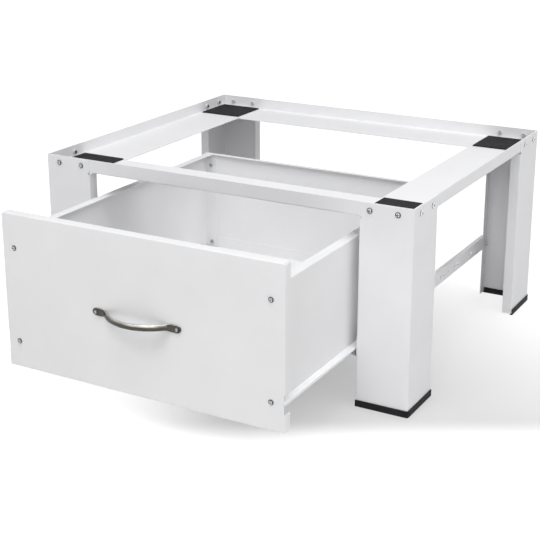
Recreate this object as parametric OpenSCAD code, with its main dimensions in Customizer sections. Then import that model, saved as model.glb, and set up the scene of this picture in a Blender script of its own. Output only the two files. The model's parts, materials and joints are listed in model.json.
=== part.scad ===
// Washer pedestal with a drawer: folded sheet-metal frame, roller slides and a folded drawer.
// Millimetres, +Z up, the drawer opens towards -Y. The drawer is drawn pulled part way out.
// The origin lies on the floor, midway across the whole part and midway along it.

/* [Frame] */
// Width across the legs
frame_w = 630; // [560:1:700]
// Depth across the legs
frame_d = 540; // [480:1:600]
// Height from the floor to the tops of the legs
frame_h = 310; // [290:1:360]
// Sheet thickness of legs and rails
frame_sheet = 1.2; // [0.8:0.1:1.6]
// Radius inside every fold of the frame
frame_fold = 0.8; // [0.4:0.1:0.9]

/* [Legs] */
// Width of a leg's front or rear wall
leg_face_w = 82; // [76:1:90]
// Width of a leg's side wall
leg_side_w = 86; // [80:1:95]
// Return lip on the front or rear wall, which carries a slide
leg_inner_lip = 19; // [16:0.5:24]
// Return lip on the side wall
leg_outer_lip = 17; // [8:0.5:20]
// Height of the fold relief above each lip
leg_relief_h = 2.5; // [1:0.5:4]
// Length of the fold relief
leg_relief_w = 3; // [2:0.5:5]

/* [Top rails] */
// Height of a side rail's upstanding lip
rail_lip_h = 20; // [18:0.5:26]
// Width of the side rails' plates
side_plate_w = 88; // [84:1:100]
// Width of the front and rear rails' plates
end_plate_w = 91; // [84:1:100]
// Clearance at each end of a rail
rail_end_gap = 1; // [1:0.1:2]

/* [Anti-slip pads and feet] */
// Length of a square pad
pad_size = 78; // [70:1:78]
// Thickness of a pad
pad_t = 2; // [1:0.5:2]
// Gap between a pad and the inner ends of the bolts beside it
pad_gap = 0.3; // [0.3:0.1:0.5]
// How much farther the pads stand from the front and rear faces than from the sides
pad_set_back = 4; // [0:0.5:4]
// Height of a rubber foot trim
foot_h = 10; // [6:0.5:20]
// Rubber below the sheet
foot_base = 2.5; // [1.5:0.5:5]
// Rubber beside the sheet, on each face
foot_skin = 1.5; // [1:0.25:2.5]
// Clearance between the trim's slot and the sheet
foot_clear = 0.1; // [0.05:0.05:0.2]

/* [Frame bolts] */
// Distance of the first bolt from the corner
bolt_first = 24; // [20:0.5:28]
// Distance of the second bolt from the corner
bolt_second = 66.5; // [55:0.5:70]
// Bolt axis below the top of the frame
bolt_drop = 11; // [10:0.5:12]
// Bolt diameter
bolt_d = 5; // [4:0.5:5]
// Bolt length below its head
bolt_len = 6; // [6:0.5:8]
// Head diameter
bolt_head_d = 8.5; // [8:0.5:11]
// Head height
bolt_head_h = 2.5; // [2:0.1:3.5]
// Nut width across flats
nut_w = 7; // [7:0.5:8]
// Nut thickness
nut_t = 2.7; // [2.7:0.1:4]

/* [Drawer travel] */
// How far the drawer is drawn out
drawer_out = 210; // [100:5:300]
// Full travel from closed to the front stop
drawer_travel = 380; // [310:5:400]

/* [Drawer box] */
// Sheet thickness of the drawer
drawer_sheet = 1; // [0.6:0.1:1.2]
// Radius inside the drawer's folds
drawer_fold = 0.6; // [0.4:0.1:0.8]
// Gap between the front panel and each leg
panel_side_gap = 2.6; // [2:0.1:6]
// Gap below the front panel
panel_floor_gap = 47; // [30:1:60]
// Gap between the front panel and the front rail
panel_top_gap = 6.8; // [4:0.1:20]
// Depth of the panel's returns
panel_return = 15; // [12:0.5:18]
// Lower edge of the sides above the panel's lower edge
side_lift = 30; // [26:1:40]
// Rim of the sides below the panel's upper edge
rim_drop = 30; // [20:1:60]
// Width of the sides' rims
rim_w = 15; // [8:0.5:20]
// Width of the sides' end flanges
end_flange_w = 21; // [18:0.5:26]
// Width of the sides' bottom flanges
floor_flange_w = 12; // [8:0.5:16]
// Depth of the back's rim
back_rim_w = 9; // [6:0.5:12]
// Height of the floor's upturned ends
floor_end_h = 20; // [17:0.5:26]
// Gap from the closed drawer's back to the rear of the frame
back_gap = 5; // [5:0.5:20]

/* [Drawer screws] */
// Screw diameter
screw_d = 4; // [3:0.5:4]
// Screw length below its head
screw_len = 8; // [7:0.5:12]
// Head diameter
screw_head_d = 8; // [6.5:0.5:9]
// Head height
screw_head_h = 2.4; // [1.6:0.1:2.4]
// Nut width across flats
screw_nut_w = 7; // [6:0.5:7]
// Nut thickness
screw_nut_t = 3.2; // [2.4:0.1:3.5]
// Lower screws above the sides' lower edge
screw_low = 11; // [9:0.5:14]
// Upper screws below the sides' rim
screw_high = 21; // [12:0.5:40]
// Screws from the outside of the box
screw_inset = 10.5; // [9:0.5:11]

/* [Handle] */
// Distance between the handle's screws
handle_spacing = 134; // [96:1:180]
// Reach of the bow in front of the panel
handle_reach = 28.5; // [24:0.5:40]
// Height of the bow's bar
handle_bar_h = 9; // [5:0.5:10]
// Thickness of the bow's bar
handle_bar_t = 5; // [4:0.5:5]
// Radius of each foot's round end
handle_foot_r = 5.8; // [5:0.1:7]
// Thickness of each foot
handle_foot_t = 2.5; // [1.5:0.5:3]
// Length of the foot from its screw to the bow
handle_foot_len = 14; // [10:0.5:18]
// Handle below the middle of the panel
handle_drop = 2.5; // [0:0.5:20]

/* [Slides] */
// Space for a slide on each side of the drawer
slide_space = 12.5; // [12.5:0.1:13.5]
// Sheet thickness of the slide members
slide_sheet = 1; // [0.8:0.1:1]
// Frame member: front end behind the front of the frame
slide_front_gap = 2; // [2:0.5:4]
// Frame member: height of its channel
channel_h = 23; // [22.8:0.1:26]
// Frame member: reach of the lower track
track_w = 10; // [9:0.1:10]
// Frame member: reach of the upper guide
guide_w = 7; // [5:0.5:9]
// Frame member: length of the front ear
ear_len = 21; // [20:0.5:24]
// Frame member: ear below the track
ear_drop = 10; // [8:0.5:11]
// Frame member: distance between the web's holes
web_pitch = 32; // [25:1:40]
// Frame member: diameter of the web's holes
web_hole_d = 4.5; // [3:0.5:6]
// Frame member: height of the front stop above the track
stop_h = 2.2; // [1.5:0.1:2.4]
// Frame member: height of the rear stop above the track
rear_stop_h = 5; // [2:0.5:5]
// Drawer member: height of its web
runner_h = 14; // [13:0.5:15]
// Drawer member: reach of the running flange
runner_w = 10; // [9.5:0.1:10]
// Drawer member: depth of the flange's lip
runner_lip = 3.5; // [2:0.1:3.5]
// Drawer member: gap between the running flange and the rear tab
runner_relief = 8; // [6:0.5:12]
// Height of the track's underside above the sides' lower edge
track_lift = 9; // [9:0.1:9.4]

/* [Rollers] */
// Diameter of the front rollers
front_roller_d = 16; // [14:0.5:17]
// Diameter of the rear rollers
rear_roller_d = 20; // [18:0.5:20]
// Width of a roller
roller_w = 6.4; // [5:0.1:6.4]
// Axle diameter
axle_d = 4; // [3:0.1:4.5]
// Diameter of the axle's head and collar
axle_head_d = 7; // [6:0.1:7.5]
// Radial running clearance on the axle
axle_clear = 0.05; // [0.03:0.01:0.1]
// Gap between a roller and what it rolls on
run_gap = 0.2; // [0.1:0.05:0.3]

/* [Hidden] */
$fn = 48;
// Radial clearance of a screw in its nut, and diametral clearance of its holes
thread_clear = 0.05;
hole_clear = 0.5;
// Overlap that joins the parts of one sheet, and how far a cut runs past it
join = 1;
past = 1;

half_w = frame_w / 2;
half_d = frame_d / 2;
frame_bend = frame_fold + frame_sheet;
drawer_bend = drawer_fold + drawer_sheet;

// Heights in the frame
side_rail_z = frame_h - rail_lip_h;
end_rail_z = side_rail_z - frame_sheet;
lip_top_z = end_rail_z - leg_relief_h;
bolt_z = frame_h - bolt_drop;
bolt_reach = max(bolt_len, 2 * frame_sheet + nut_t);
pad_inset = bolt_reach + pad_gap;
pad_z = side_rail_z + frame_sheet;

// Places along Y: closed, the drawer's face is flush with the front legs
face_y = -half_d - drawer_out;
panel_in_y = face_y + drawer_sheet;
back_y = half_d - back_gap - drawer_out;
back_in_y = back_y - drawer_sheet;
front_most = face_y - handle_reach;
rear_most = half_d + max(bolt_head_h, foot_skin);
shift_y = -(front_most + rear_most) / 2;

// Drawer
opening_half = half_w - leg_face_w;
panel_half = opening_half - panel_side_gap;
panel_z = panel_floor_gap;
panel_top = end_rail_z - panel_top_gap;
box_half = opening_half - slide_space;
side_z = panel_z + side_lift;
rim_z = panel_top - rim_drop;
floor_z = side_z + drawer_sheet;
low_screw_z = side_z + screw_low;
high_screw_z = rim_z - screw_high;
screw_x = box_half - screw_inset;
flange_x = box_half - end_flange_w;
floor_end_half = flange_x - 1.5;

// Handle
handle_z = (panel_z + panel_top) / 2 - handle_drop;
bow_half = handle_spacing / 2 - handle_foot_len;
bow_rise = handle_reach - handle_bar_t / 2;
bow_r = (bow_half * bow_half + bow_rise * bow_rise) / (2 * bow_rise);

// Slides
web_x = opening_half;
web_in_x = web_x - slide_sheet;
track_z = side_z + track_lift;
track_top = track_z + slide_sheet;
channel_top = track_z + channel_h;
member_front = -half_d + slide_front_gap;
member_rear = half_d - back_gap - slide_sheet;
ear_end = member_front + ear_len;
slide_screw_y = half_d - leg_inner_lip / 2;
slide_screw_z = track_z + 10;
runner_top = side_z + runner_h;
runner_in_x = box_half + slide_sheet;
runner_out_x = box_half + runner_w;
runner_head_h = 1;
runner_screw_z = side_z + 8;
runner_screws = [panel_in_y + 50, (panel_in_y + back_y) / 2, back_y - 27];

// Rollers
roller_x = (runner_in_x + runner_out_x - slide_sheet) / 2 + 0.3;
roller_half = roller_w / 2;
cap_t = 1;
cap_gap = 0.1;
front_axle_y = member_front + front_roller_d / 2 + 2;
front_axle_z = runner_top - slide_sheet - run_gap - front_roller_d / 2;
rear_axle_z = track_top + run_gap + rear_roller_d / 2;
rear_stop_y = member_rear - slide_sheet;
rear_axle_y = rear_stop_y - run_gap - stop_reach(rear_stop_h) - drawer_out;
rear_tab_y = rear_axle_y - rear_roller_d / 2 - 2;
front_stop_y = rear_axle_y + drawer_out - drawer_travel - stop_reach(stop_h) - run_gap;
bump_len = 6;
bump_out_x = runner_out_x - slide_sheet - 0.4;

// How far ahead of its axle a rear roller meets a stop of this height
function stop_reach(height) =
    sqrt(pow(rear_roller_d / 2, 2) - pow(rear_roller_d / 2 + run_gap - height, 2));

// ---- Helpers -------------------------------------------------------------------------------

// Moves the frame's own axes to the origin of the whole part
module placed() {
    translate([0, shift_y, 0]) children();
}

// Folded sheet in section: outside corner at the origin, one leg along +x, one along +y
module fold(along_x, along_y, sheet, bend) {
    translate([bend, 0]) square([along_x - bend, sheet]);
    translate([0, bend]) square([sheet, along_y - bend]);
    difference() {
        intersection() {
            square(bend);
            translate([bend, bend]) circle(bend);
        }
        if (bend > sheet) translate([bend, bend]) circle(bend - sheet);
    }
}

// Draws a section with its x along world Y and its y along world Z, centred along X
module run_x(length) {
    rotate([90, 0, 90]) linear_extrude(length, center = true) children();
}

// Draws a section with its x along world X and its y along world Z, centred along Y
module run_y(length) {
    rotate([90, 0, 0]) linear_extrude(length, center = true) children();
}

module hole_x(at, d, length) {
    translate(at) rotate([0, 90, 0]) cylinder(d = d, h = length, center = true);
}

module hole_y(at, d, length) {
    translate(at) rotate([90, 0, 0]) cylinder(d = d, h = length, center = true);
}

// Repeats what is drawn at the left for both sides
module both_sides() {
    children();
    mirror([1, 0, 0]) children();
}

// Screw along z: the head stands on z = 0 and the shank runs down
module screw(d, length, head_d, head_h) {
    cap_h = head_h * 0.7;
    cap_r = (head_d * head_d / 4 + cap_h * cap_h) / (2 * cap_h);
    slot_w = head_d * 0.13;
    slot_l = head_d * 0.52;
    slot_depth = head_h * 0.55;
    translate([0, 0, -length]) cylinder(d = d, h = length);
    difference() {
        intersection() {
            cylinder(d = head_d, h = head_h);
            translate([0, 0, head_h - cap_r]) sphere(cap_r);
        }
        for (turn = [0, 90])
            rotate([0, 0, turn])
                translate([-slot_l / 2, -slot_w / 2, head_h - slot_depth])
                    cube([slot_l, slot_w, head_h]);
    }
}

// Nut along z, lying on z = 0 and reaching down
module nut(d, across, thickness) {
    translate([0, 0, -thickness])
        difference() {
            cylinder(r = across / 2 / cos(30), h = thickness, $fn = 6);
            translate([0, 0, -past]) cylinder(d = d + 2 * thread_clear, h = thickness + 2 * past);
        }
}

// Turn z of a screw towards the outside of each face
module facing_front(at) {
    translate(at) rotate([90, 0, 0]) children();
}

module facing_back(at) {
    translate(at) rotate([-90, 0, 0]) children();
}

module facing_left(at) {
    translate(at) rotate([0, -90, 0]) children();
}

module facing_right(at) {
    translate(at) rotate([0, 90, 0]) children();
}

// Puts a corner piece, drawn for the front left corner, at a corner of the frame
module at_corner(right, rear) {
    mirror([right, 0, 0]) mirror([0, rear, 0]) translate([-half_w, -half_d, 0]) children();
}

// ---- Legs ----------------------------------------------------------------------------------

// Section of the two main walls
module leg_walls() {
    fold(leg_face_w, leg_side_w, frame_sheet, frame_bend);
}

// Section of the walls with their return lips
module leg_section() {
    mid = leg_face_w / 2 + join;
    mid_side = leg_side_w / 2 + join;
    fold(mid, mid_side, frame_sheet, frame_bend);
    translate([leg_face_w, 0]) mirror([1, 0]) fold(mid, leg_inner_lip, frame_sheet, frame_bend);
    translate([0, leg_side_w]) mirror([0, 1]) fold(leg_outer_lip, mid_side, frame_sheet, frame_bend);
}

module leg() {
    color("white")
    difference() {
        union() {
            translate([0, 0, foot_base]) linear_extrude(lip_top_z - foot_base) leg_section();
            translate([0, 0, lip_top_z]) linear_extrude(frame_h - lip_top_z) leg_walls();
        }
        translate([leg_face_w - leg_relief_w, -past, lip_top_z])
            cube([leg_relief_w + past, leg_inner_lip, leg_relief_h]);
        translate([-past, leg_side_w - leg_relief_w, lip_top_z])
            cube([leg_outer_lip, leg_relief_w + past, leg_relief_h]);
        for (from_corner = [bolt_first, bolt_second]) {
            hole_y([from_corner, 0, bolt_z], bolt_d + hole_clear, 4 * frame_bend);
            hole_x([0, from_corner, bolt_z], bolt_d + hole_clear, 4 * frame_bend);
        }
        hole_x([leg_face_w, leg_inner_lip / 2, slide_screw_z], screw_d + hole_clear, 4 * frame_bend);
    }
}

// ---- Feet and pads -------------------------------------------------------------------------

module foot() {
    trim_t = foot_skin + frame_sheet + foot_skin;
    slot_t = frame_sheet + 2 * foot_clear;
    color([0.12, 0.12, 0.12])
    difference() {
        linear_extrude(foot_h)
            translate([-foot_skin, -foot_skin])
                fold(leg_face_w + foot_skin, leg_side_w + foot_skin, trim_t, frame_bend + foot_skin);
        translate([0, 0, foot_base])
            linear_extrude(foot_h) {
                translate([-foot_clear, -foot_clear])
                    fold(leg_face_w + past, leg_side_w + past, slot_t, frame_bend + foot_clear);
                // Room for the folds into the lips
                translate([leg_face_w - frame_bend - foot_clear, -foot_clear])
                    square([frame_bend + past, leg_inner_lip]);
                translate([-foot_clear, leg_side_w - frame_bend - foot_clear])
                    square([leg_outer_lip, frame_bend + past]);
            }
    }
}

module pad() {
    color([0.15, 0.15, 0.15])
    translate([pad_inset, pad_inset + pad_set_back, pad_z]) cube([pad_size, pad_size, pad_t]);
}

// ---- Top rails -----------------------------------------------------------------------------

module rail_end() {
    run = frame_w - 2 * (frame_sheet + rail_end_gap);
    color("white")
    difference() {
        translate([0, -half_d + frame_sheet, end_rail_z])
            run_x(run) fold(end_plate_w, frame_h - end_rail_z, frame_sheet, frame_bend);
        for (side = [-1, 1], from_corner = [bolt_first, bolt_second])
            hole_y([side * (half_w - from_corner), -half_d, bolt_z], bolt_d + hole_clear, 4 * frame_bend);
    }
}

module rail_side() {
    run = frame_d - 2 * (2 * frame_sheet + rail_end_gap);
    color("white")
    difference() {
        translate([-half_w + frame_sheet, 0, side_rail_z])
            run_y(run) fold(side_plate_w, rail_lip_h, frame_sheet, frame_bend);
        for (end = [-1, 1], from_corner = [bolt_first, bolt_second])
            hole_x([-half_w, end * (half_d - from_corner), bolt_z], bolt_d + hole_clear, 4 * frame_bend);
    }
}

// ---- Frame bolts ---------------------------------------------------------------------------

// Calls its children at every bolt of one corner, z outwards and z = 0 at depth below the face
module bolt_places(depth) {
    for (right = [0, 1], rear = [0, 1])
        at_corner(right, rear)
            for (from_corner = [bolt_first, bolt_second]) {
                facing_front([from_corner, depth, bolt_z]) children();
                facing_left([depth, from_corner, bolt_z]) children();
            }
}

module frame_bolts() {
    color("silver") bolt_places(0) screw(bolt_d, bolt_len, bolt_head_d, bolt_head_h);
}

module frame_nuts() {
    color("silver") bolt_places(2 * frame_sheet) nut(bolt_d, nut_w, nut_t);
}

// ---- Slides on the frame, drawn for the left side --------------------------------------------

// Slot through the web, along Y
module web_slot(y) {
    slot_w = web_hole_d - 1;
    slot_l = 11;
    translate([-web_x, y, slide_screw_z])
        rotate([90, 0, 90])
            linear_extrude(3 * slide_sheet, center = true) {
                square([slot_l - slot_w, slot_w], center = true);
                for (end = [-1, 1]) translate([end * (slot_l - slot_w) / 2, 0]) circle(d = slot_w);
            }
}

module slide_frame() {
    run = member_rear - ear_end;
    web_len = member_rear - member_front;
    ear_z = track_z - ear_drop;
    ear_round = 5;
    color([0.93, 0.93, 0.94])
    difference() {
        union() {
            // Channel with its lower track and upper guide
            translate([-web_x, ear_end + run / 2, track_z])
                run_y(run) {
                    fold(track_w, channel_h / 2 + join, slide_sheet, slide_sheet);
                    translate([0, channel_h]) mirror([0, 1])
                        fold(guide_w, channel_h / 2 + join, slide_sheet, slide_sheet);
                }
            // Web and front ear
            translate([-web_x, 0, 0])
                rotate([90, 0, 90])
                    linear_extrude(slide_sheet) {
                        translate([member_front + ear_round, track_z])
                            square([web_len - ear_round, channel_h]);
                        translate([member_front, ear_z + ear_round])
                            square([ear_len, channel_top - ear_z - 2 * ear_round]);
                        translate([member_front + ear_round, ear_z])
                            square([ear_len - 2 * ear_round, ear_drop + join]);
                        for (y = [member_front + ear_round, ear_end - ear_round])
                            translate([y, ear_z + ear_round]) circle(ear_round);
                        translate([member_front + ear_round, channel_top - ear_round])
                            circle(ear_round);
                    }
            // Rear stop, folded up at the end of the track
            translate([-web_x, rear_stop_y, track_z])
                cube([track_w, slide_sheet, slide_sheet + rear_stop_h]);
            // Front stop, pressed up out of the track between the drawer member's web and lip
            translate([-bump_out_x, front_stop_y - bump_len, track_top - slide_sheet / 2])
                cube([bump_out_x - web_x + track_w, bump_len, stop_h + slide_sheet / 2]);
        }
        for (y = [-slide_screw_y, slide_screw_y])
            hole_x([-web_x, y, slide_screw_z], screw_d + hole_clear, 4 * frame_bend);
        hole_x([-web_x, front_axle_y, front_axle_z], axle_d + 2 * axle_clear, 4 * frame_bend);
        // Rows of spare fixing holes and slots
        first_hole = ear_end + 12;
        hole_count = floor((member_rear - 40 - first_hole) / web_pitch);
        for (i = [0 : hole_count]) {
            y = first_hole + i * web_pitch;
            hole_x([-web_x, y, slide_screw_z], web_hole_d, 3 * slide_sheet);
            if (i % 2 == 1) web_slot(y + web_pitch * 0.45);
        }
    }
}

module slide_frame_places(depth) {
    both_sides()
        for (y = [-slide_screw_y, slide_screw_y])
            facing_right([-web_in_x - depth, y, slide_screw_z]) children();
}

module slide_frame_screws() {
    color("silver")
    slide_frame_places(0) screw(screw_d, screw_len, screw_head_d - 1, 1.5);
}

module slide_frame_nuts() {
    color("silver")
    slide_frame_places(slide_sheet + frame_sheet) nut(screw_d, screw_nut_w, screw_nut_t);
}

// ---- Rollers and axles, drawn for the left side ----------------------------------------------

// Roller on the x axis: the hollow for the axle's head is on its +x face
module roller(d) {
    hollow_d = axle_head_d + 1;
    rim_round = 0.8;
    groove = 0.5;
    rotate([0, 90, 0])
    difference() {
        union() {
            translate([0, 0, -roller_half + rim_round])
                cylinder(d = d, h = roller_w - 2 * rim_round);
            for (end = [0, 1])
                mirror([0, 0, end]) translate([0, 0, roller_half - rim_round])
                    cylinder(d1 = d, d2 = d - 2 * rim_round, h = rim_round);
        }
        translate([0, 0, -roller_half - past])
            cylinder(d = axle_d + 2 * axle_clear, h = roller_w + 2 * past);
        translate([0, 0, roller_half - cap_t - 2 * cap_gap])
            cylinder(d = hollow_d, h = cap_t + past);
        // Shallow ring moulded into the outer face
        translate([0, 0, -roller_half - past])
            difference() {
                cylinder(d = d - 4, h = past + groove);
                cylinder(d = axle_head_d + 2, h = past + groove);
            }
    }
}

// Axle on the x axis, in the roller's own place: collar and rivet towards -x
module axle(sheet_at) {
    rotate([0, 90, 0]) {
        head_at = roller_half - cap_t - cap_gap;
        translate([0, 0, head_at]) cylinder(d = axle_head_d, h = cap_t);
        translate([0, 0, -sheet_at - slide_sheet]) cylinder(d = axle_d, h = head_at + sheet_at + slide_sheet);
        translate([0, 0, -sheet_at]) cylinder(d = axle_head_d, h = sheet_at - roller_half - 2 * cap_gap);
    }
}

module front_axle() {
    color("silver") translate([-roller_x, front_axle_y, front_axle_z]) axle(web_in_x - roller_x);
}

module front_roller() {
    color([0.55, 0.56, 0.58]) translate([-roller_x, front_axle_y, front_axle_z]) roller(front_roller_d);
}

module rear_axle() {
    color("silver")
    translate([-roller_x, rear_axle_y, rear_axle_z])
        mirror([1, 0, 0]) axle(roller_x - runner_in_x);
}

module rear_roller() {
    color([0.55, 0.56, 0.58])
    translate([-roller_x, rear_axle_y, rear_axle_z])
        mirror([1, 0, 0]) roller(rear_roller_d);
}

// ---- Drawer front ----------------------------------------------------------------------------

// Plan of the front sheet with its two side returns
module panel_plan(reach) {
    for (side = [0, 1])
        mirror([side, 0])
            translate([-panel_half, face_y])
                fold(panel_half + join, reach, drawer_sheet, drawer_bend);
}

module drawer_front() {
    tab_top = side_z - 4;
    return_z = track_z + 16;
    tab_round = 7;
    flange_w = 2 * (panel_half - drawer_bend);
    color("white")
    difference() {
        union() {
            // Sheet with its side returns above the slides
            translate([0, 0, return_z])
                linear_extrude(panel_top - drawer_bend - return_z) panel_plan(panel_return);
            // Sheet alone beside the slides
            translate([-panel_half + drawer_bend, face_y, tab_top - join])
                cube([flange_w, drawer_sheet, return_z - tab_top + 2 * join]);
            // Short returns below the slides, round at their lower corners
            difference() {
                translate([0, 0, panel_z + drawer_bend])
                    linear_extrude(tab_top - panel_z - drawer_bend) panel_plan(panel_return);
                translate([0, face_y + panel_return - tab_round, panel_z + drawer_bend + tab_round])
                    rotate([0, 90, 0])
                        linear_extrude(4 * panel_half, center = true)
                            difference() {
                                square([2 * tab_round, 2 * tab_round]);
                                circle(tab_round);
                                translate([-tab_round, -past]) square([tab_round, 3 * tab_round]);
                            }
            }
            // Upper and lower flanges
            translate([0, face_y, panel_top])
                mirror([0, 0, 1]) run_x(flange_w)
                    fold(panel_return, panel_return, drawer_sheet, drawer_bend);
            translate([0, face_y, panel_z])
                run_x(flange_w) fold(panel_return - 3, panel_return, drawer_sheet, drawer_bend);
        }
        for (side = [-1, 1], z = [low_screw_z, high_screw_z])
            hole_y([side * screw_x, face_y, z], screw_d + hole_clear, 4 * drawer_bend);
        for (side = [-1, 1])
            hole_y([side * handle_spacing / 2, face_y, handle_z], screw_d + hole_clear, 4 * drawer_bend);
    }
}

// ---- Drawer sides, back and floor --------------------------------------------------------------

module drawer_side() {
    side_front = panel_in_y;
    side_rear = back_in_y;
    run = side_rear - side_front;
    end_z = floor_z + drawer_sheet + 0.5;
    end_top = rim_z - drawer_bend - 0.5;
    color("white")
    difference() {
        union() {
            // Wall between its rim and its floor flange
            translate([-box_half, (side_front + side_rear) / 2, 0])
                run_y(run - 2 * drawer_bend) {
                    mid = (rim_z - side_z) / 2 + join;
                    translate([0, side_z]) fold(floor_flange_w, mid, drawer_sheet, drawer_bend);
                    translate([0, rim_z]) mirror([0, 1]) fold(rim_w, mid, drawer_sheet, drawer_bend);
                }
            // Rim carried on to the panel, and under the back's rim as far as its fold
            translate([-box_half + drawer_bend, side_front, rim_z - drawer_sheet])
                cube([rim_w - drawer_bend, run - drawer_fold, drawer_sheet]);
            // End flanges
            translate([0, 0, end_z])
                linear_extrude(end_top - end_z) {
                    translate([-box_half, side_front])
                        fold(end_flange_w, 20, drawer_sheet, drawer_bend);
                    translate([-box_half, side_rear])
                        mirror([0, 1]) fold(end_flange_w, 20, drawer_sheet, drawer_bend);
                }
        }
        for (y = [side_front, side_rear], z = [low_screw_z, high_screw_z])
            hole_y([-screw_x, y, z], screw_d + hole_clear, 4 * drawer_bend);
        for (y = runner_screws)
            hole_x([-box_half, y, runner_screw_z], screw_d + hole_clear, 4 * drawer_bend);
    }
}

module drawer_back() {
    color("white")
    difference() {
        translate([0, back_y, rim_z + drawer_sheet])
            mirror([0, 0, 1]) mirror([0, 1, 0])
                run_x(2 * box_half)
                    fold(back_rim_w, rim_z + drawer_sheet - side_z, drawer_sheet, drawer_bend);
        for (side = [-1, 1], z = [low_screw_z, high_screw_z])
            hole_y([side * screw_x, back_y, z], screw_d + hole_clear, 4 * drawer_bend);
        hole_y([0, back_y, low_screw_z], screw_d + hole_clear, 4 * drawer_bend);
    }
}

module drawer_floor() {
    run = back_in_y - panel_in_y;
    mid = run / 2 + join;
    wing_gap = 0.3;
    wing_half = box_half - drawer_bend - wing_gap;
    color([0.96, 0.96, 0.96])
    difference() {
        union() {
            translate([0, panel_in_y, floor_z])
                run_x(2 * floor_end_half) fold(mid, floor_end_h, drawer_sheet, drawer_bend);
            translate([0, back_in_y, floor_z])
                mirror([0, 1, 0]) run_x(2 * floor_end_half)
                    fold(mid, floor_end_h, drawer_sheet, drawer_bend);
            translate([-wing_half, panel_in_y + drawer_bend, floor_z])
                cube([2 * wing_half, run - 2 * drawer_bend, drawer_sheet]);
        }
        hole_y([0, back_in_y, low_screw_z], screw_d + hole_clear, 4 * drawer_bend);
    }
}

// ---- Drawer screws -----------------------------------------------------------------------------

module panel_places(depth) {
    for (side = [-1, 1], z = [low_screw_z, high_screw_z])
        facing_front([side * screw_x, face_y + depth, z]) children();
}

module panel_screws() {
    color("silver") panel_places(0) screw(screw_d, screw_len, screw_head_d, screw_head_h);
}

module panel_nuts() {
    color("silver") panel_places(2 * drawer_sheet) nut(screw_d, screw_nut_w, screw_nut_t);
}

module back_places(depth) {
    for (side = [-1, 1], z = [low_screw_z, high_screw_z])
        facing_back([side * screw_x, back_y - depth, z]) children();
    facing_back([0, back_y - depth, low_screw_z]) children();
}

module back_screws() {
    color("silver") back_places(0) screw(screw_d, screw_len, screw_head_d, screw_head_h);
}

module back_nuts() {
    color("silver") back_places(2 * drawer_sheet) nut(screw_d, screw_nut_w, screw_nut_t);
}

// ---- Handle ------------------------------------------------------------------------------------

// Section of the bow's bar: rounded above and below
module bar_section() {
    round_r = handle_bar_t / 2;
    flat_h = handle_bar_h - handle_bar_t;
    square([handle_bar_t, flat_h], center = true);
    for (end = [-1, 1])
        translate([0, end * flat_h / 2]) circle(round_r);
}

module handle() {
    color([0.45, 0.43, 0.4])
    difference() {
        union() {
            // Bow in front of the panel
            intersection() {
                translate([0, face_y - bow_rise + bow_r, handle_z])
                    rotate_extrude(angle = 360, $fn = 96)
                        translate([bow_r, 0]) bar_section();
                translate([-bow_half - handle_bar_t, face_y - 2 * handle_reach, handle_z - handle_bar_h])
                    cube([2 * (bow_half + handle_bar_t), 2 * handle_reach, 2 * handle_bar_h]);
            }
            // Flat feet
            both_sides()
                translate([-handle_spacing / 2, face_y, handle_z])
                    rotate([90, 0, 0])
                        linear_extrude(handle_foot_t) {
                            circle(handle_foot_r);
                            translate([0, -handle_foot_r])
                                square([handle_foot_len - 4, 2 * handle_foot_r]);
                            translate([handle_foot_len - 5, -handle_bar_h / 2])
                                square([6, handle_bar_h]);
                        }
        }
        for (side = [-1, 1])
            hole_y([side * handle_spacing / 2, face_y, handle_z], screw_d + hole_clear, 4 * handle_foot_t);
    }
}

module handle_places(depth) {
    for (side = [-1, 1])
        facing_front([side * handle_spacing / 2, face_y - handle_foot_t + depth, handle_z]) children();
}

module handle_screws() {
    color("silver") handle_places(0) screw(screw_d, screw_len + 2, screw_head_d - 1, screw_head_h);
}

module handle_nuts() {
    color("silver")
    handle_places(handle_foot_t + drawer_sheet) nut(screw_d, screw_nut_w, screw_nut_t);
}

// ---- Slides on the drawer, drawn for the left side -----------------------------------------------

module slide_drawer() {
    run = back_y - panel_in_y;
    flange_run = rear_tab_y - runner_relief - panel_in_y;
    tab_len = back_y - rear_tab_y;
    tab_top = rear_axle_z + axle_head_d;
    lip_x = runner_w - slide_sheet;
    color([0.93, 0.93, 0.94])
    difference() {
        union() {
            // Web on the side's outer face
            translate([-box_half - slide_sheet, panel_in_y, side_z])
                cube([slide_sheet, run, runner_h]);
            // Running flange and its lip
            translate([-box_half, panel_in_y + flange_run / 2, runner_top])
                mirror([1, 0, 0]) mirror([0, 0, 1])
                    run_y(flange_run) {
                        translate([runner_w, 0]) mirror([1, 0])
                            fold(lip_x, runner_lip, slide_sheet, slide_sheet);
                        square([2 * slide_sheet, slide_sheet]);
                    }
            // Tab that carries the rear axle
            translate([-box_half - slide_sheet, rear_tab_y, side_z])
                cube([slide_sheet, tab_len, tab_top - side_z]);
        }
        hole_x([-box_half, rear_axle_y, rear_axle_z], axle_d + 2 * axle_clear, 4 * slide_sheet);
        for (y = runner_screws)
            hole_x([-box_half, y, runner_screw_z], screw_d + hole_clear, 4 * slide_sheet);
    }
}

module slide_drawer_places(depth) {
    both_sides()
        for (y = runner_screws)
            facing_left([-runner_in_x + depth, y, runner_screw_z]) children();
}

module slide_drawer_screws() {
    color("silver")
    slide_drawer_places(0) screw(screw_d, screw_len, screw_head_d - 2, runner_head_h);
}

module slide_drawer_nuts() {
    color("silver")
    slide_drawer_places(slide_sheet + drawer_sheet) nut(screw_d, screw_nut_w, screw_nut_t);
}

// ---- Nodes -------------------------------------------------------------------------------------

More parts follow.
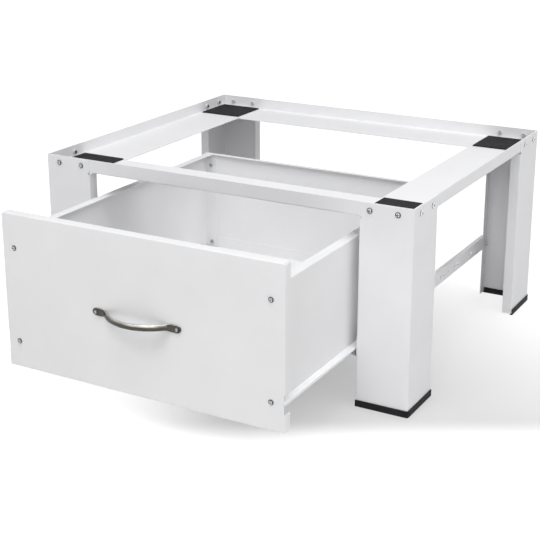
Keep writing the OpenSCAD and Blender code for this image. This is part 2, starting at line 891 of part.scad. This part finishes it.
placed() at_corner(0, 0) leg();  // leg_front_left
placed() at_corner(1, 0) leg();  // leg_front_right
placed() at_corner(0, 1) leg();  // leg_rear_left
placed() at_corner(1, 1) leg();  // leg_rear_right
placed() rail_end();  // rail_front
placed() mirror([0, 1, 0]) rail_end();  // rail_rear
placed() rail_side();  // rail_left
placed() mirror([1, 0, 0]) rail_side();  // rail_right
placed() at_corner(0, 0) pad();  // pad_front_left
placed() at_corner(1, 0) pad();  // pad_front_right
placed() at_corner(0, 1) pad();  // pad_rear_left
placed() at_corner(1, 1) pad();  // pad_rear_right
placed() at_corner(0, 0) foot();  // foot_front_left
placed() at_corner(1, 0) foot();  // foot_front_right
placed() at_corner(0, 1) foot();  // foot_rear_left
placed() at_corner(1, 1) foot();  // foot_rear_right
placed() frame_bolts();
placed() frame_nuts();
placed() slide_frame();  // slide_frame_left
placed() mirror([1, 0, 0]) slide_frame();  // slide_frame_right
placed() slide_frame_screws();
placed() slide_frame_nuts();
placed() front_axle();  // front_axle_left
placed() mirror([1, 0, 0]) front_axle();  // front_axle_right
placed() front_roller();  // front_roller_left
placed() mirror([1, 0, 0]) front_roller();  // front_roller_right
placed() drawer_front();
placed() drawer_side();  // drawer_side_left
placed() mirror([1, 0, 0]) drawer_side();  // drawer_side_right
placed() drawer_back();
placed() drawer_floor();
placed() panel_screws();
placed() panel_nuts();
placed() back_screws();
placed() back_nuts();
placed() handle();
placed() handle_screws();
placed() handle_nuts();
placed() slide_drawer();  // slide_drawer_left
placed() mirror([1, 0, 0]) slide_drawer();  // slide_drawer_right
placed() slide_drawer_screws();
placed() slide_drawer_nuts();
placed() rear_axle();  // rear_axle_left
placed() mirror([1, 0, 0]) rear_axle();  // rear_axle_right
placed() rear_roller();  // rear_roller_left
placed() mirror([1, 0, 0]) rear_roller();  // rear_roller_right
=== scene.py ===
# Looks of the washer pedestal drawer: finishes, a forged handle, studio and camera.
# Lengths are in metres in the row's frame: +X right, -Y towards the drawer's front, +Z up.
import json
import math

import bmesh
import bpy
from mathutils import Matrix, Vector


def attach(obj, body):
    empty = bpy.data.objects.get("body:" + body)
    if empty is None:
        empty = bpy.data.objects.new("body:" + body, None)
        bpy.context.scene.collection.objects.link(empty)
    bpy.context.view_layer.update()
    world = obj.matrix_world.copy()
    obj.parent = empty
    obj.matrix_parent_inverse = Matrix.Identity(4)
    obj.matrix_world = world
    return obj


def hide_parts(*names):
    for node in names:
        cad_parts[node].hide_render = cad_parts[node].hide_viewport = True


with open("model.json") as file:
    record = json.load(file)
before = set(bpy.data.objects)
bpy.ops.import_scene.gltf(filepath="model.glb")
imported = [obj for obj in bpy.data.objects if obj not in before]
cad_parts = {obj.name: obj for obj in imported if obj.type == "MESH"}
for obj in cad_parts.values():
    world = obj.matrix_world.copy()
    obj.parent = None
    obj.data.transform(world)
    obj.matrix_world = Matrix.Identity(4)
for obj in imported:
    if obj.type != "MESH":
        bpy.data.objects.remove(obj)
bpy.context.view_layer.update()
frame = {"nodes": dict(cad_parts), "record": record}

MM = 0.001

# ---- Nodes -------------------------------------------------------------------------------------

# Agreement of the bevelled with the true normal where an edge starts to show, and where it is full
EDGE_START, EDGE_FULL = 0.995, 0.85
# Open share of the surroundings deep in a crevice, and where the crevice ends, for the painted
# shade in crevices
CREVICE_DEEP, CREVICE_END = 0.72, 0.98
# Distance of the frame's sides from the middle, and how far inside them a head still stands on them
FRAME_SIDE, SIDE_MARGIN = 315 * MM, 0.1 * MM
# How much more of the heads on the frame's sides stays bright, outside the painted dark reflection
# at their rim, than of the others
SIDE_HEAD_SHINE = 1.2


class Nodes:
    """The node tree of a material or of the world, and the steps that it is put together from."""

    def __init__(self, tree):
        self.tree = tree

    def add(self, kind, **values):
        """Adds a node and sets its properties or, where it has no such property, its sockets."""
        node = self.tree.nodes.new(kind)
        for name, value in values.items():
            if hasattr(node, name):
                setattr(node, name, value)
            else:
                node.inputs[name.replace("_", " ")].default_value = value
        return node

    def link(self, source, target):
        self.tree.links.new(source, target)

    def feed(self, value, socket):
        """Gives a socket another node's output, a colour or a number."""
        if isinstance(value, bpy.types.NodeSocket):
            self.link(value, socket)
        elif socket.type == "RGBA":
            socket.default_value = (*value, 1)
        else:
            socket.default_value = value

    def math(self, operation, first, second=0.0):
        """One step of arithmetic on numbers or on other nodes' outputs."""
        node = self.add("ShaderNodeMath", operation=operation)
        self.feed(first, node.inputs[0])
        self.feed(second, node.inputs[1])
        return node.outputs[0]

    def ramp(self, value, start, end, low=0.0, high=1.0, kind="LINEAR"):
        """The value from low to high that another one reaches on its way from start to end."""
        node = self.add("ShaderNodeMapRange", interpolation_type=kind)
        self.link(value, node.inputs["Value"])
        for socket, number in (("From Min", start), ("From Max", end),
                               ("To Min", low), ("To Max", high)):
            node.inputs[socket].default_value = number
        return node.outputs["Result"]

    def dot(self, first, second):
        node = self.add("ShaderNodeVectorMath", operation="DOT_PRODUCT")
        self.link(first, node.inputs[0])
        self.link(second, node.inputs[1])
        return node.outputs["Value"]

    def axes(self, vector):
        """The outputs X, Y and Z of a vector."""
        split = self.add("ShaderNodeSeparateXYZ")
        self.link(vector, split.inputs[0])
        return split.outputs

    def geometry(self, output):
        return self.add("ShaderNodeNewGeometry").outputs[output]

    def seen_rays(self):
        """1 for camera, glossy and transmission rays, and 0 for the rays that light a surface."""
        rays = self.add("ShaderNodeLightPath").outputs
        seen = self.math("MAXIMUM", rays["Is Camera Ray"], rays["Is Glossy Ray"])
        return self.math("MAXIMUM", seen, rays["Is Transmission Ray"])


class Finish(Nodes):
    """A material that is put together node by node around one Principled shader."""

    def __init__(self, name, **sockets):
        self.material = bpy.data.materials.new(name)
        self.material.use_nodes = True
        super().__init__(self.material.node_tree)
        self.shader = self.tree.nodes["Principled BSDF"]
        self.place = self.add("ShaderNodeTexCoord").outputs["Object"]
        for socket, value in sockets.items():
            self.shader.inputs[socket.replace("_", " ")].default_value = value

    def set(self, socket, output):
        self.link(output, self.shader.inputs[socket])

    def noise(self, size, detail=2.0, stretch=(1, 1, 1)):
        """Noise whose features are about size metres wide, and longer along a stretched axis."""
        spread = self.add("ShaderNodeMapping")
        spread.inputs["Scale"].default_value = [1 / s for s in stretch]
        self.link(self.place, spread.inputs["Vector"])
        noise = self.add("ShaderNodeTexNoise", Scale=1 / size, Detail=detail)
        self.link(spread.outputs["Vector"], noise.inputs["Vector"])
        return noise.outputs["Fac"]

    def between(self, factor, low=0.0, high=1.0, spread=0.2):
        """The value from low to high that follows the middle part of a noise factor."""
        return self.ramp(factor, 0.5 - spread, 0.5 + spread, low, high)

    def blend(self, factor, first, second, kind="MIX"):
        """A colour from two, each given as a colour or as another node's output."""
        mix = self.add("ShaderNodeMix", data_type="RGBA", blend_type=kind)
        first_socket, second_socket = [socket for socket in mix.inputs if socket.type == "RGBA"]
        self.feed(factor, mix.inputs["Factor"])
        self.feed(first, first_socket)
        self.feed(second, second_socket)
        return [socket for socket in mix.outputs if socket.type == "RGBA"][0]

    def edges(self, radius):
        """1 on sharp edges and folds tighter than radius, and 0 on flat sheet."""
        soft = self.add("ShaderNodeBevel", samples=4, Radius=radius)
        likeness = self.dot(soft.outputs["Normal"], self.geometry("Normal"))
        return self.ramp(likeness, EDGE_START, EDGE_FULL)

    def crevice_shade(self, depth):
        """Mask of painted shade: 0 in the corner where a piece stands on another, and 1 at depth
        metres away from it.
        """
        shade = self.add("ShaderNodeAmbientOcclusion", samples=8, Distance=depth)
        return self.ramp(shade.outputs["AO"], CREVICE_DEEP, CREVICE_END)

    def facing_up(self, low, high):
        """0 to 1 as a surface turns upwards: low and high are its normal's upward share."""
        return self.ramp(self.axes(self.geometry("Normal"))["Z"], low, high, kind="SMOOTHSTEP")

    def facing_out(self, inner, outer):
        """One value on what faces the part's middle, as a bolt's inner end does, or another."""
        outwards = self.dot(self.geometry("Position"), self.geometry("Normal"))
        return self.ramp(self.math("GREATER_THAN", outwards, 0.0), 0.0, 1.0, inner, outer)

    def head_tops(self, low, high):
        """Mask of a painted reflection: 0 to 1 as a screw head's dome turns from its rim, painted
        dark, to its top. Heads outside the frame's sides point along X, and all others along Y."""
        place_x = self.math("ABSOLUTE", self.axes(self.geometry("Position"))["X"])
        normal = self.axes(self.geometry("Normal"))
        beside = self.math("GREATER_THAN", place_x, FRAME_SIDE - SIDE_MARGIN)
        across = self.math("MULTIPLY", self.math("ABSOLUTE", normal["X"]), SIDE_HEAD_SHINE)
        side_heads = self.math("MULTIPLY", across, beside)
        other_heads = self.math("MULTIPLY", self.math("ABSOLUTE", normal["Y"]),
                                self.math("SUBTRACT", 1.0, beside))
        return self.ramp(self.math("ADD", side_heads, other_heads), low, high, kind="SMOOTHSTEP")

    def bumps(self, *layers):
        """Bump from several (factor, height in metres) layers, one on top of the other."""
        normal = None
        for factor, height in layers:
            bump = self.add("ShaderNodeBump", Strength=1.0, Distance=height)
            self.link(factor, bump.inputs["Height"])
            if normal is not None:
                self.link(normal, bump.inputs["Normal"])
            normal = bump.outputs["Normal"]
        self.set("Normal", normal)


# ---- Finishes ----------------------------------------------------------------------------------

# Powder coat: tone of its clouds, tone of the painted highlight on its edges, strength of its
# specks, and their sizes
COAT_CLOUD_TONE, COAT_EDGE_HIGHLIGHT, COAT_SPECKS = 0.965, 1.035, 0.025
COAT_CLOUD_SIZE, COAT_SPECK_SIZE, COAT_EDGE_RADIUS = 90 * MM, 0.7 * MM, 0.8 * MM
COAT_GLOSS_SIZE, COAT_WAVE_SIZE, COAT_PEEL_SIZE = 14 * MM, 120 * MM, 1.7 * MM
# How much rougher the dullest part of a coat or of rubber is than its glossiest one
COAT_DULLER, RUBBER_DULLER = 0.12, 0.15
# Depth of rubber's grain, and size and depth of the fine noise on it
GRAIN_DEPTH, FINE_SIZE, FINE_DEPTH = 0.12 * MM, 0.35 * MM, 0.04 * MM
# Plated metal: depths of its waves and scratches, and how much longer than wide the scratches are
PLATING_WAVE_DEPTH, SCRATCH_DEPTH, SCRATCH_STRETCH = 0.03 * MM, 0.004 * MM, (6, 1, 1)
# The upward share of its normal from which a bar gets a painted highlight, and where the highlight
# is full
TOP_HIGHLIGHT_SLOPES = (0.6, 0.8)
# A bolt's inner end is a grey cut face, which mirrors little of the black pad above it
INNER_END_METALLIC = 0.15
# Nylon's darker flow pattern, as a share of its tone
NYLON_DARKER = 0.85


def powder_coat(name, white, peel, waviness, roughness=0.42):
    """Satin powder coat with orange peel, on sheet with slow waves; its edges are painted paler as
    a highlight.
    """
    finish = Finish(name, Coat_Weight=0.02, Coat_Roughness=0.15, Specular_IOR_Level=0.26)
    cloud_tone = [COAT_CLOUD_TONE * c for c in white]
    painted_edge_highlight = [min(1, COAT_EDGE_HIGHLIGHT * c) for c in white]
    clouds = finish.blend(finish.between(finish.noise(COAT_CLOUD_SIZE, 3)), cloud_tone, white)
    specks = finish.between(finish.noise(COAT_SPECK_SIZE, 2), spread=0.3)
    speckled = finish.blend(COAT_SPECKS, clouds, specks, "MULTIPLY")
    # Painted highlight: sharp edges and folds get a paler tone.
    finish.set("Base Color", finish.blend(finish.edges(COAT_EDGE_RADIUS), speckled, painted_edge_highlight))
    gloss = finish.noise(COAT_GLOSS_SIZE, 4)
    finish.set("Roughness", finish.between(gloss, roughness, roughness + COAT_DULLER))
    finish.bumps((finish.noise(COAT_WAVE_SIZE, 1), waviness),
                 (finish.noise(COAT_PEEL_SIZE, 2), peel))
    return finish.material


def rubber(name, black, worn, grain, roughness):
    """Moulded rubber with a fine grain and slightly greyer patches."""
    finish = Finish(name, Specular_IOR_Level=0.11)
    patches = finish.between(finish.noise(22 * MM, 4))
    finish.set("Base Color", finish.blend(patches, black, worn))
    gloss = finish.noise(5 * MM, 3)
    finish.set("Roughness", finish.between(gloss, roughness, roughness + RUBBER_DULLER))
    cells = finish.add("ShaderNodeTexVoronoi", Scale=1 / grain)
    finish.link(finish.place, cells.inputs["Vector"])
    finish.bumps((cells.outputs["Distance"], GRAIN_DEPTH), (finish.noise(FINE_SIZE, 3), FINE_DEPTH))
    return finish.material


def plated_metal(name, tone, tint, shade_and_reflection_tone, roughness, grain,
                 metallic=1.0, rim=None, top_highlight=None, depth=1 * MM):
    """Plated metal with a faint second tint, painted shade in its crevices, fine scratches and
    uneven gloss. Heads get a painted dark reflection at their rim, and surfaces that face up get a
    painted highlight in a paler tone."""
    finish = Finish(name, Metallic=metallic)
    plating = finish.blend(finish.between(finish.noise(3 * MM, 3)), tone, tint)
    # Painted highlight: surfaces that face up get the paler tone.
    if top_highlight:
        plating = finish.blend(finish.facing_up(*TOP_HIGHLIGHT_SLOPES), plating, top_highlight)
    if rim:
        # Painted reflection: head rims get the dark tone, and their tops keep the plating.
        plating = finish.blend(finish.head_tops(*rim), shade_and_reflection_tone, plating)
        finish.set("Metallic", finish.facing_out(INNER_END_METALLIC, metallic))
    # Painted shade: crevices get the dark tone.
    finish.set("Base Color", finish.blend(finish.crevice_shade(depth), shade_and_reflection_tone, plating))
    finish.set("Roughness", finish.between(finish.noise(1.5 * MM, 4), *roughness))
    waves, scratches = finish.noise(5 * MM, 2), finish.noise(grain, 3, SCRATCH_STRETCH)
    finish.bumps((waves, PLATING_WAVE_DEPTH), (scratches, SCRATCH_DEPTH))
    return finish.material


def moulded_nylon(name, tone, roughness):
    """Grey nylon with a slight flow pattern and a matt skin."""
    finish = Finish(name, Specular_IOR_Level=0.4)
    darker = [NYLON_DARKER * c for c in tone]
    flow = finish.between(finish.noise(6 * MM, 3))
    finish.set("Base Color", finish.blend(flow, darker, tone))
    finish.set("Roughness", finish.between(finish.noise(2 * MM, 3), *roughness))
    finish.bumps((finish.noise(0.5 * MM, 3), 0.015 * MM))
    return finish.material


LOOKS = {
    "frame_white": (powder_coat, dict(
        white=(0.88, 0.88, 0.895), peel=0.02 * MM, waviness=0.5 * MM)),
    "drawer_white": (powder_coat, dict(
        white=(0.88, 0.88, 0.89), peel=0.016 * MM, waviness=0.8 * MM, roughness=0.62)),
    "slide_white": (powder_coat, dict(
        white=(0.94, 0.94, 0.955), peel=0.01 * MM, waviness=0.1 * MM)),
    "pad_rubber": (rubber, dict(
        black=(0.011, 0.011, 0.012), worn=(0.02, 0.02, 0.021), grain=0.9 * MM, roughness=0.7)),
    "foot_rubber": (rubber, dict(
        black=(0.014, 0.014, 0.015), worn=(0.023, 0.023, 0.024), grain=1.3 * MM, roughness=0.55)),
    "zinc_hardware": (plated_metal, dict(
        tone=(0.74, 0.745, 0.76), tint=(0.62, 0.63, 0.65), shade_and_reflection_tone=(0.075, 0.075, 0.08),
        roughness=(0.14, 0.24), grain=0.3 * MM, rim=(0.83, 0.93))),
    "zinc_nuts": (plated_metal, dict(
        tone=(0.7, 0.705, 0.72), tint=(0.58, 0.59, 0.61), shade_and_reflection_tone=(0.2, 0.2, 0.21),
        roughness=(0.3, 0.42), grain=0.3 * MM, metallic=0.15, depth=0.4 * MM)),
    "handle_nickel": (plated_metal, dict(
        tone=(0.085, 0.079, 0.071), tint=(0.065, 0.06, 0.053), shade_and_reflection_tone=(0.03, 0.028, 0.025),
        roughness=(0.2, 0.3), grain=0.25 * MM, top_highlight=(0.56, 0.545, 0.515))),
    "roller_nylon": (moulded_nylon, dict(
        tone=(0.42, 0.43, 0.45), roughness=(0.42, 0.56))),
}
FINISHES = {name: build(name, **settings) for name, (build, settings) in LOOKS.items()}

# Zinc pieces whose heads, if they have any, don't face out from the frame's sides or along Y
PLAIN_ZINC_NODES = {
    "frame_nuts", "slide_frame_screws", "slide_frame_nuts", "slide_drawer_screws",
    "slide_drawer_nuts", "panel_nuts", "back_nuts", "handle_nuts", "front_axle_left",
    "front_axle_right", "rear_axle_left", "rear_axle_right"}


def coat_cad_nodes():
    """Gives every CAD node the finish of its material slot in the record, and the plain zinc pieces
    the finish of the nuts.
    """
    for subpart in frame["record"]["subparts"]:
        mesh = frame["nodes"][subpart["node"]].data
        plain_zinc = subpart["node"] in PLAIN_ZINC_NODES
        finish = FINISHES["zinc_nuts" if plain_zinc else subpart["material_slot"]]
        if not mesh.materials:
            mesh.materials.append(finish)
        for index in range(len(mesh.materials)):
            mesh.materials[index] = finish


# ---- Handle ------------------------------------------------------------------------------------

# All of these are in millimetres, as in the part's source. The bow is an arc round a centre behind
# the panel's face, and each neck is an arc that bends the other way, down to the foot.
FACE_Y = -362.0
HANDLE_Z = 162.0
BOW_RADIUS = 67.02
BOW_CENTRE_Y = -320.98
FOOT_TIP_X = 72.8
FOOT_RADIUS = 5.8
FOOT_INNER = 1.25
FOOT_MIDDLE_Y = FACE_Y - FOOT_INNER
NECK_RADIUS = 13.9
NECK_TURN = math.radians(46)
NECK_X = 58.2

# Distances of the foot's sections from its tip, and the distance whose width the tip itself gets
FOOT_REACHES = (0.0, 0.35, 1.2, 2.6, 4.2, 5.8, 8.0, 10.5, 12.6, 14.6)
FOOT_LEAST_REACH = 0.3
NECK_STEPS = 8
BOW_STEPS = 18

# Sections as (outwards, up): the flat foot for a half width of 1, and the bow's bar
FOOT_SECTION = [(-FOOT_INNER, -1.0), (0.35, -1.0), (1.1, -0.84), (1.3, -0.3),
                (1.3, 0.3), (1.1, 0.84), (0.35, 1.0), (-FOOT_INNER, 1.0)]
BOW_SECTION = [(-2.5, -4.1), (-0.2, -4.5), (1.9, -3.1), (2.5, -0.9),
               (2.25, 1.1), (-0.5, 4.3), (-2.0, 4.5), (-2.5, 4.1)]
# Crease along each corner of the section, and how often the surface between them is halved
SHARPNESS = [0.5, 0.4, 0.45, 0.55, 0.6, 0.6, 0.4, 0.5]
ROUNDING_LEVELS = 2


def handle_stations():
    """(x, y, turn, share of the bow's section, foot's half width), from left foot to middle."""
    stations = []
    for reach in FOOT_REACHES:
        half = FOOT_RADIUS
        if reach < FOOT_RADIUS:
            half = math.sqrt(FOOT_RADIUS ** 2 - (FOOT_RADIUS - max(reach, FOOT_LEAST_REACH)) ** 2)
        stations.append((-FOOT_TIP_X + reach, FOOT_MIDDLE_Y, 0.0, 0.0, half))
    for step in range(1, NECK_STEPS + 1):
        ease = step / NECK_STEPS
        turn = NECK_TURN * step / NECK_STEPS
        x = -NECK_X + NECK_RADIUS * math.sin(turn)
        y = FOOT_MIDDLE_Y - NECK_RADIUS * (1 - math.cos(turn))
        stations.append((x, y, turn, ease * ease * (3 - 2 * ease), FOOT_RADIUS))
    for step in range(1, BOW_STEPS + 1):
        turn = NECK_TURN * (1 - step / BOW_STEPS)
        x = -BOW_RADIUS * math.sin(turn)
        y = BOW_CENTRE_Y - BOW_RADIUS * math.cos(turn)
        stations.append((x, y, turn, 1.0, FOOT_RADIUS))
    return stations


def station_points(x, y, turn, share, half):
    """The corners of one section in metres, between the foot's section and the bow's."""
    points = []
    for (foot_out, foot_up), (bow_out, bow_up) in zip(FOOT_SECTION, BOW_SECTION):
        out = foot_out + share * (bow_out - foot_out)
        up = half * foot_up + share * (bow_up - half * foot_up)
        points.append((MM * (x - out * math.sin(turn)), MM * (y - out * math.cos(turn)),
                       MM * (HANDLE_Z + up)))
    return points


def handle_mesh():
    """Skin over the sections from one foot to the other, creased along their corners."""
    left = handle_stations()
    right = [(-x, y, -turn, share, half) for x, y, turn, share, half in reversed(left[:-1])]
    mesh = bmesh.new()
    crease = mesh.edges.layers.float.new("crease_edge")
    rings = [[mesh.verts.new(point) for point in station_points(*station)]
             for station in left + right]
    count = len(FOOT_SECTION)
    for first, second in zip(rings, rings[1:]):
        for index in range(count):
            following = (index + 1) % count
            mesh.faces.new((first[index], first[following], second[following], second[index]))
    mesh.faces.new(reversed(rings[0]))
    mesh.faces.new(rings[-1])
    for first, second in zip(rings, rings[1:]):
        for start, end, sharpness in zip(first, second, SHARPNESS):
            mesh.edges.get((start, end))[crease] = sharpness
    bmesh.ops.recalc_face_normals(mesh, faces=mesh.faces)
    for face in mesh.faces:
        face.smooth = True
    data = bpy.data.meshes.new("handle_bow")
    mesh.to_mesh(data)
    mesh.free()
    return data


def make_handle():
    """Forged bow that widens into two flat feet, in place of the solid one."""
    data = handle_mesh()
    data.materials.append(FINISHES["handle_nickel"])
    bow = bpy.data.objects.new("handle_bow", data)
    bpy.context.scene.collection.objects.link(bow)
    rounding = bow.modifiers.new("rounding", "SUBSURF")
    rounding.levels = ROUNDING_LEVELS
    rounding.render_levels = ROUNDING_LEVELS
    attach(bow, "drawer")
    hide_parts("handle")


# ---- Studio ------------------------------------------------------------------------------------

FLOOR_HALF = 12.0
# The sweep's slow clouds lie between two greys as they light the part, and between two darker ones
# under the lift that the camera sees
FLOOR_CLOUD_SIZE = 0.6
FLOOR_BOUNCE = (0.8, 0.82)
FLOOR_SHOWN = (0.29, 0.31)
# Right of the part lies a patch of painted shade, where the part's shadow falls: the lift is lower
# there, so the rendered shadow
# # shows too, and the lift's own slope paints the rest of the grey. It starts, is full, fades and
# ends at these places: u runs
# # along its front edge, and v away from that.
PATCH_TURN = math.radians(29.5)
PATCH_U = (-0.25, 0.0, 0.45, 0.7)
PATCH_V = (-0.375, -0.29, 0.35, 0.8)
# How much the patch of painted shade is lifted: at its origin, more per metre along u and v, and
# the limits of it
PATCH_LIFT, PATCH_SLOPE = 0.39, 0.6
PATCH_LEAST, PATCH_MOST = 0.4, 0.85
# How much the rest of the sweep is lifted, within one distance from the part and beyond the other
NEAR_LIFT, FAR_LIFT = 0.92, 1.0
NEAR, FAR = 0.8, 2.0

AMBIENT = 0.1
WHITE = (1, 1, 1, 1)

LIGHTS_MIDDLE = Vector((0, 0, 0.15))
# Name, direction from the middle, distance, side of its square and power in watts
SOFTBOXES = (
    ("key", (-0.33, -0.62, 0.71), 3.2, 1.3, 16.5),
    ("front", (0.1, -0.5, 0.87), 3.2, 1.6, 37),
    ("front_right", (0.4, -0.75, 0.45), 3.2, 1.6, 15),
    ("right", (0.7, -0.15, 0.7), 3.2, 1.6, 12.5),
    ("overhead", (0.5, 0, 0.85), 2.6, 2, 21),
    ("left", (-0.8, -0.35, 0.5), 3.2, 1.6, 6.5),
    ("back", (0.35, 0.85, 0.4), 3.2, 1.6, 12),
)

# The photograph's camera, from a fit to the corners of the frame and the drawer. Its sensor is in
# millimetres, its place in metres, and its dip below the horizon and its turn are in degrees.
IMAGE_PX = 540
FOCAL_PX = 1238.3
OPTICAL_AXIS_ROW = 220
SENSOR_WIDTH = 36
CAMERA_PLACE = (0.9273, -1.6443, 0.7942)
CAMERA_DIP, CAMERA_TURN = 17.295, 29.269


def make_floor():
    """White sweep with a patch of painted shade right of the part. Camera, glossy and transmission
    rays see it lifted, so that it stays white far from the lamps and keeps a light shadow, which
    the lower lift in the patch lets show. It lights the part as a plain floor."""
    bpy.ops.mesh.primitive_plane_add(size=2 * FLOOR_HALF)
    floor = bpy.context.object
    floor.name = "floor"
    finish = Finish("floor", Roughness=0.7)

    turned = finish.add("ShaderNodeMapping")
    turned.inputs["Rotation"].default_value = (0, 0, -PATCH_TURN)
    finish.link(finish.place, turned.inputs["Vector"])
    axes = finish.axes(turned.outputs["Vector"])
    # Painted shade: the patch lowers the lift right of the part.
    shade_patch = 1.0
    shade_patch_lift = PATCH_LIFT
    for value, (start, full, fading, end) in ((axes["X"], PATCH_U), (axes["Y"], PATCH_V)):
        rise = finish.ramp(value, start, full, kind="SMOOTHSTEP")
        fall = finish.ramp(value, fading, end, 1.0, 0.0, kind="SMOOTHSTEP")
        shade_patch = finish.math("MULTIPLY", finish.math("MULTIPLY", shade_patch, rise), fall)
        shade_patch_lift = finish.math("ADD", shade_patch_lift, finish.math("MULTIPLY", value, PATCH_SLOPE))
    shade_patch_lift = finish.math("MINIMUM", finish.math("MAXIMUM", shade_patch_lift, PATCH_LEAST), PATCH_MOST)

    length = finish.add("ShaderNodeVectorMath", operation="LENGTH")
    finish.link(finish.place, length.inputs[0])
    white_lift = finish.ramp(length.outputs["Value"], NEAR, FAR, NEAR_LIFT, FAR_LIFT, "SMOOTHSTEP")
    lift = finish.add("ShaderNodeMix", data_type="FLOAT")
    finish.link(shade_patch, lift.inputs["Factor"])
    finish.link(white_lift, lift.inputs["A"])
    finish.link(shade_patch_lift, lift.inputs["B"])

    clouds = finish.between(finish.noise(FLOOR_CLOUD_SIZE, 2))
    bounce, shown = (finish.blend(clouds, (low,) * 3, (high,) * 3)
                     for low, high in (FLOOR_BOUNCE, FLOOR_SHOWN))
    seen = finish.seen_rays()
    finish.set("Base Color", finish.blend(seen, bounce, shown))
    finish.shader.inputs["Emission Color"].default_value = WHITE
    finish.set("Emission Strength", finish.math("MULTIPLY", seen, lift.outputs["Result"]))
    floor.data.materials.append(finish.material)


def make_world():
    """Even studio light, which the camera and reflections see as white."""
    world = bpy.data.worlds.new("studio")
    world.use_nodes = True
    bpy.context.scene.world = world
    nodes = Nodes(world.node_tree)
    background = world.node_tree.nodes["Background"].inputs
    background["Color"].default_value = WHITE
    nodes.link(nodes.ramp(nodes.seen_rays(), 0.0, 1.0, AMBIENT, 1.0), background["Strength"])


def make_softbox(name, towards, distance, side, power):
    """Square area light at a distance from the middle in one direction, turned to face it."""
    light = bpy.data.lights.new(name, "AREA")
    light.shape = "SQUARE"
    light.size = side
    light.energy = power
    holder = bpy.data.objects.new(name, light)
    bpy.context.scene.collection.objects.link(holder)
    direction = Vector(towards).normalized()
    holder.location = LIGHTS_MIDDLE + distance * direction
    holder.rotation_euler = (-direction).to_track_quat("-Z", "Y").to_euler()


def make_camera():
    data = bpy.data.cameras.new("camera")
    data.sensor_width = SENSOR_WIDTH
    data.lens = FOCAL_PX / IMAGE_PX * data.sensor_width
    data.shift_y = (OPTICAL_AXIS_ROW - IMAGE_PX / 2) / IMAGE_PX
    camera = bpy.data.objects.new("camera", data)
    bpy.context.scene.collection.objects.link(camera)
    camera.location = CAMERA_PLACE
    camera.rotation_euler = (math.radians(90 - CAMERA_DIP), 0, math.radians(CAMERA_TURN))
    bpy.context.scene.camera = camera


coat_cad_nodes()
make_handle()
make_floor()
make_world()
for softbox in SOFTBOXES:
    make_softbox(*softbox)
make_camera()
bpy.context.scene.view_settings.view_transform = "Standard"

bpy.context.view_layer.update()
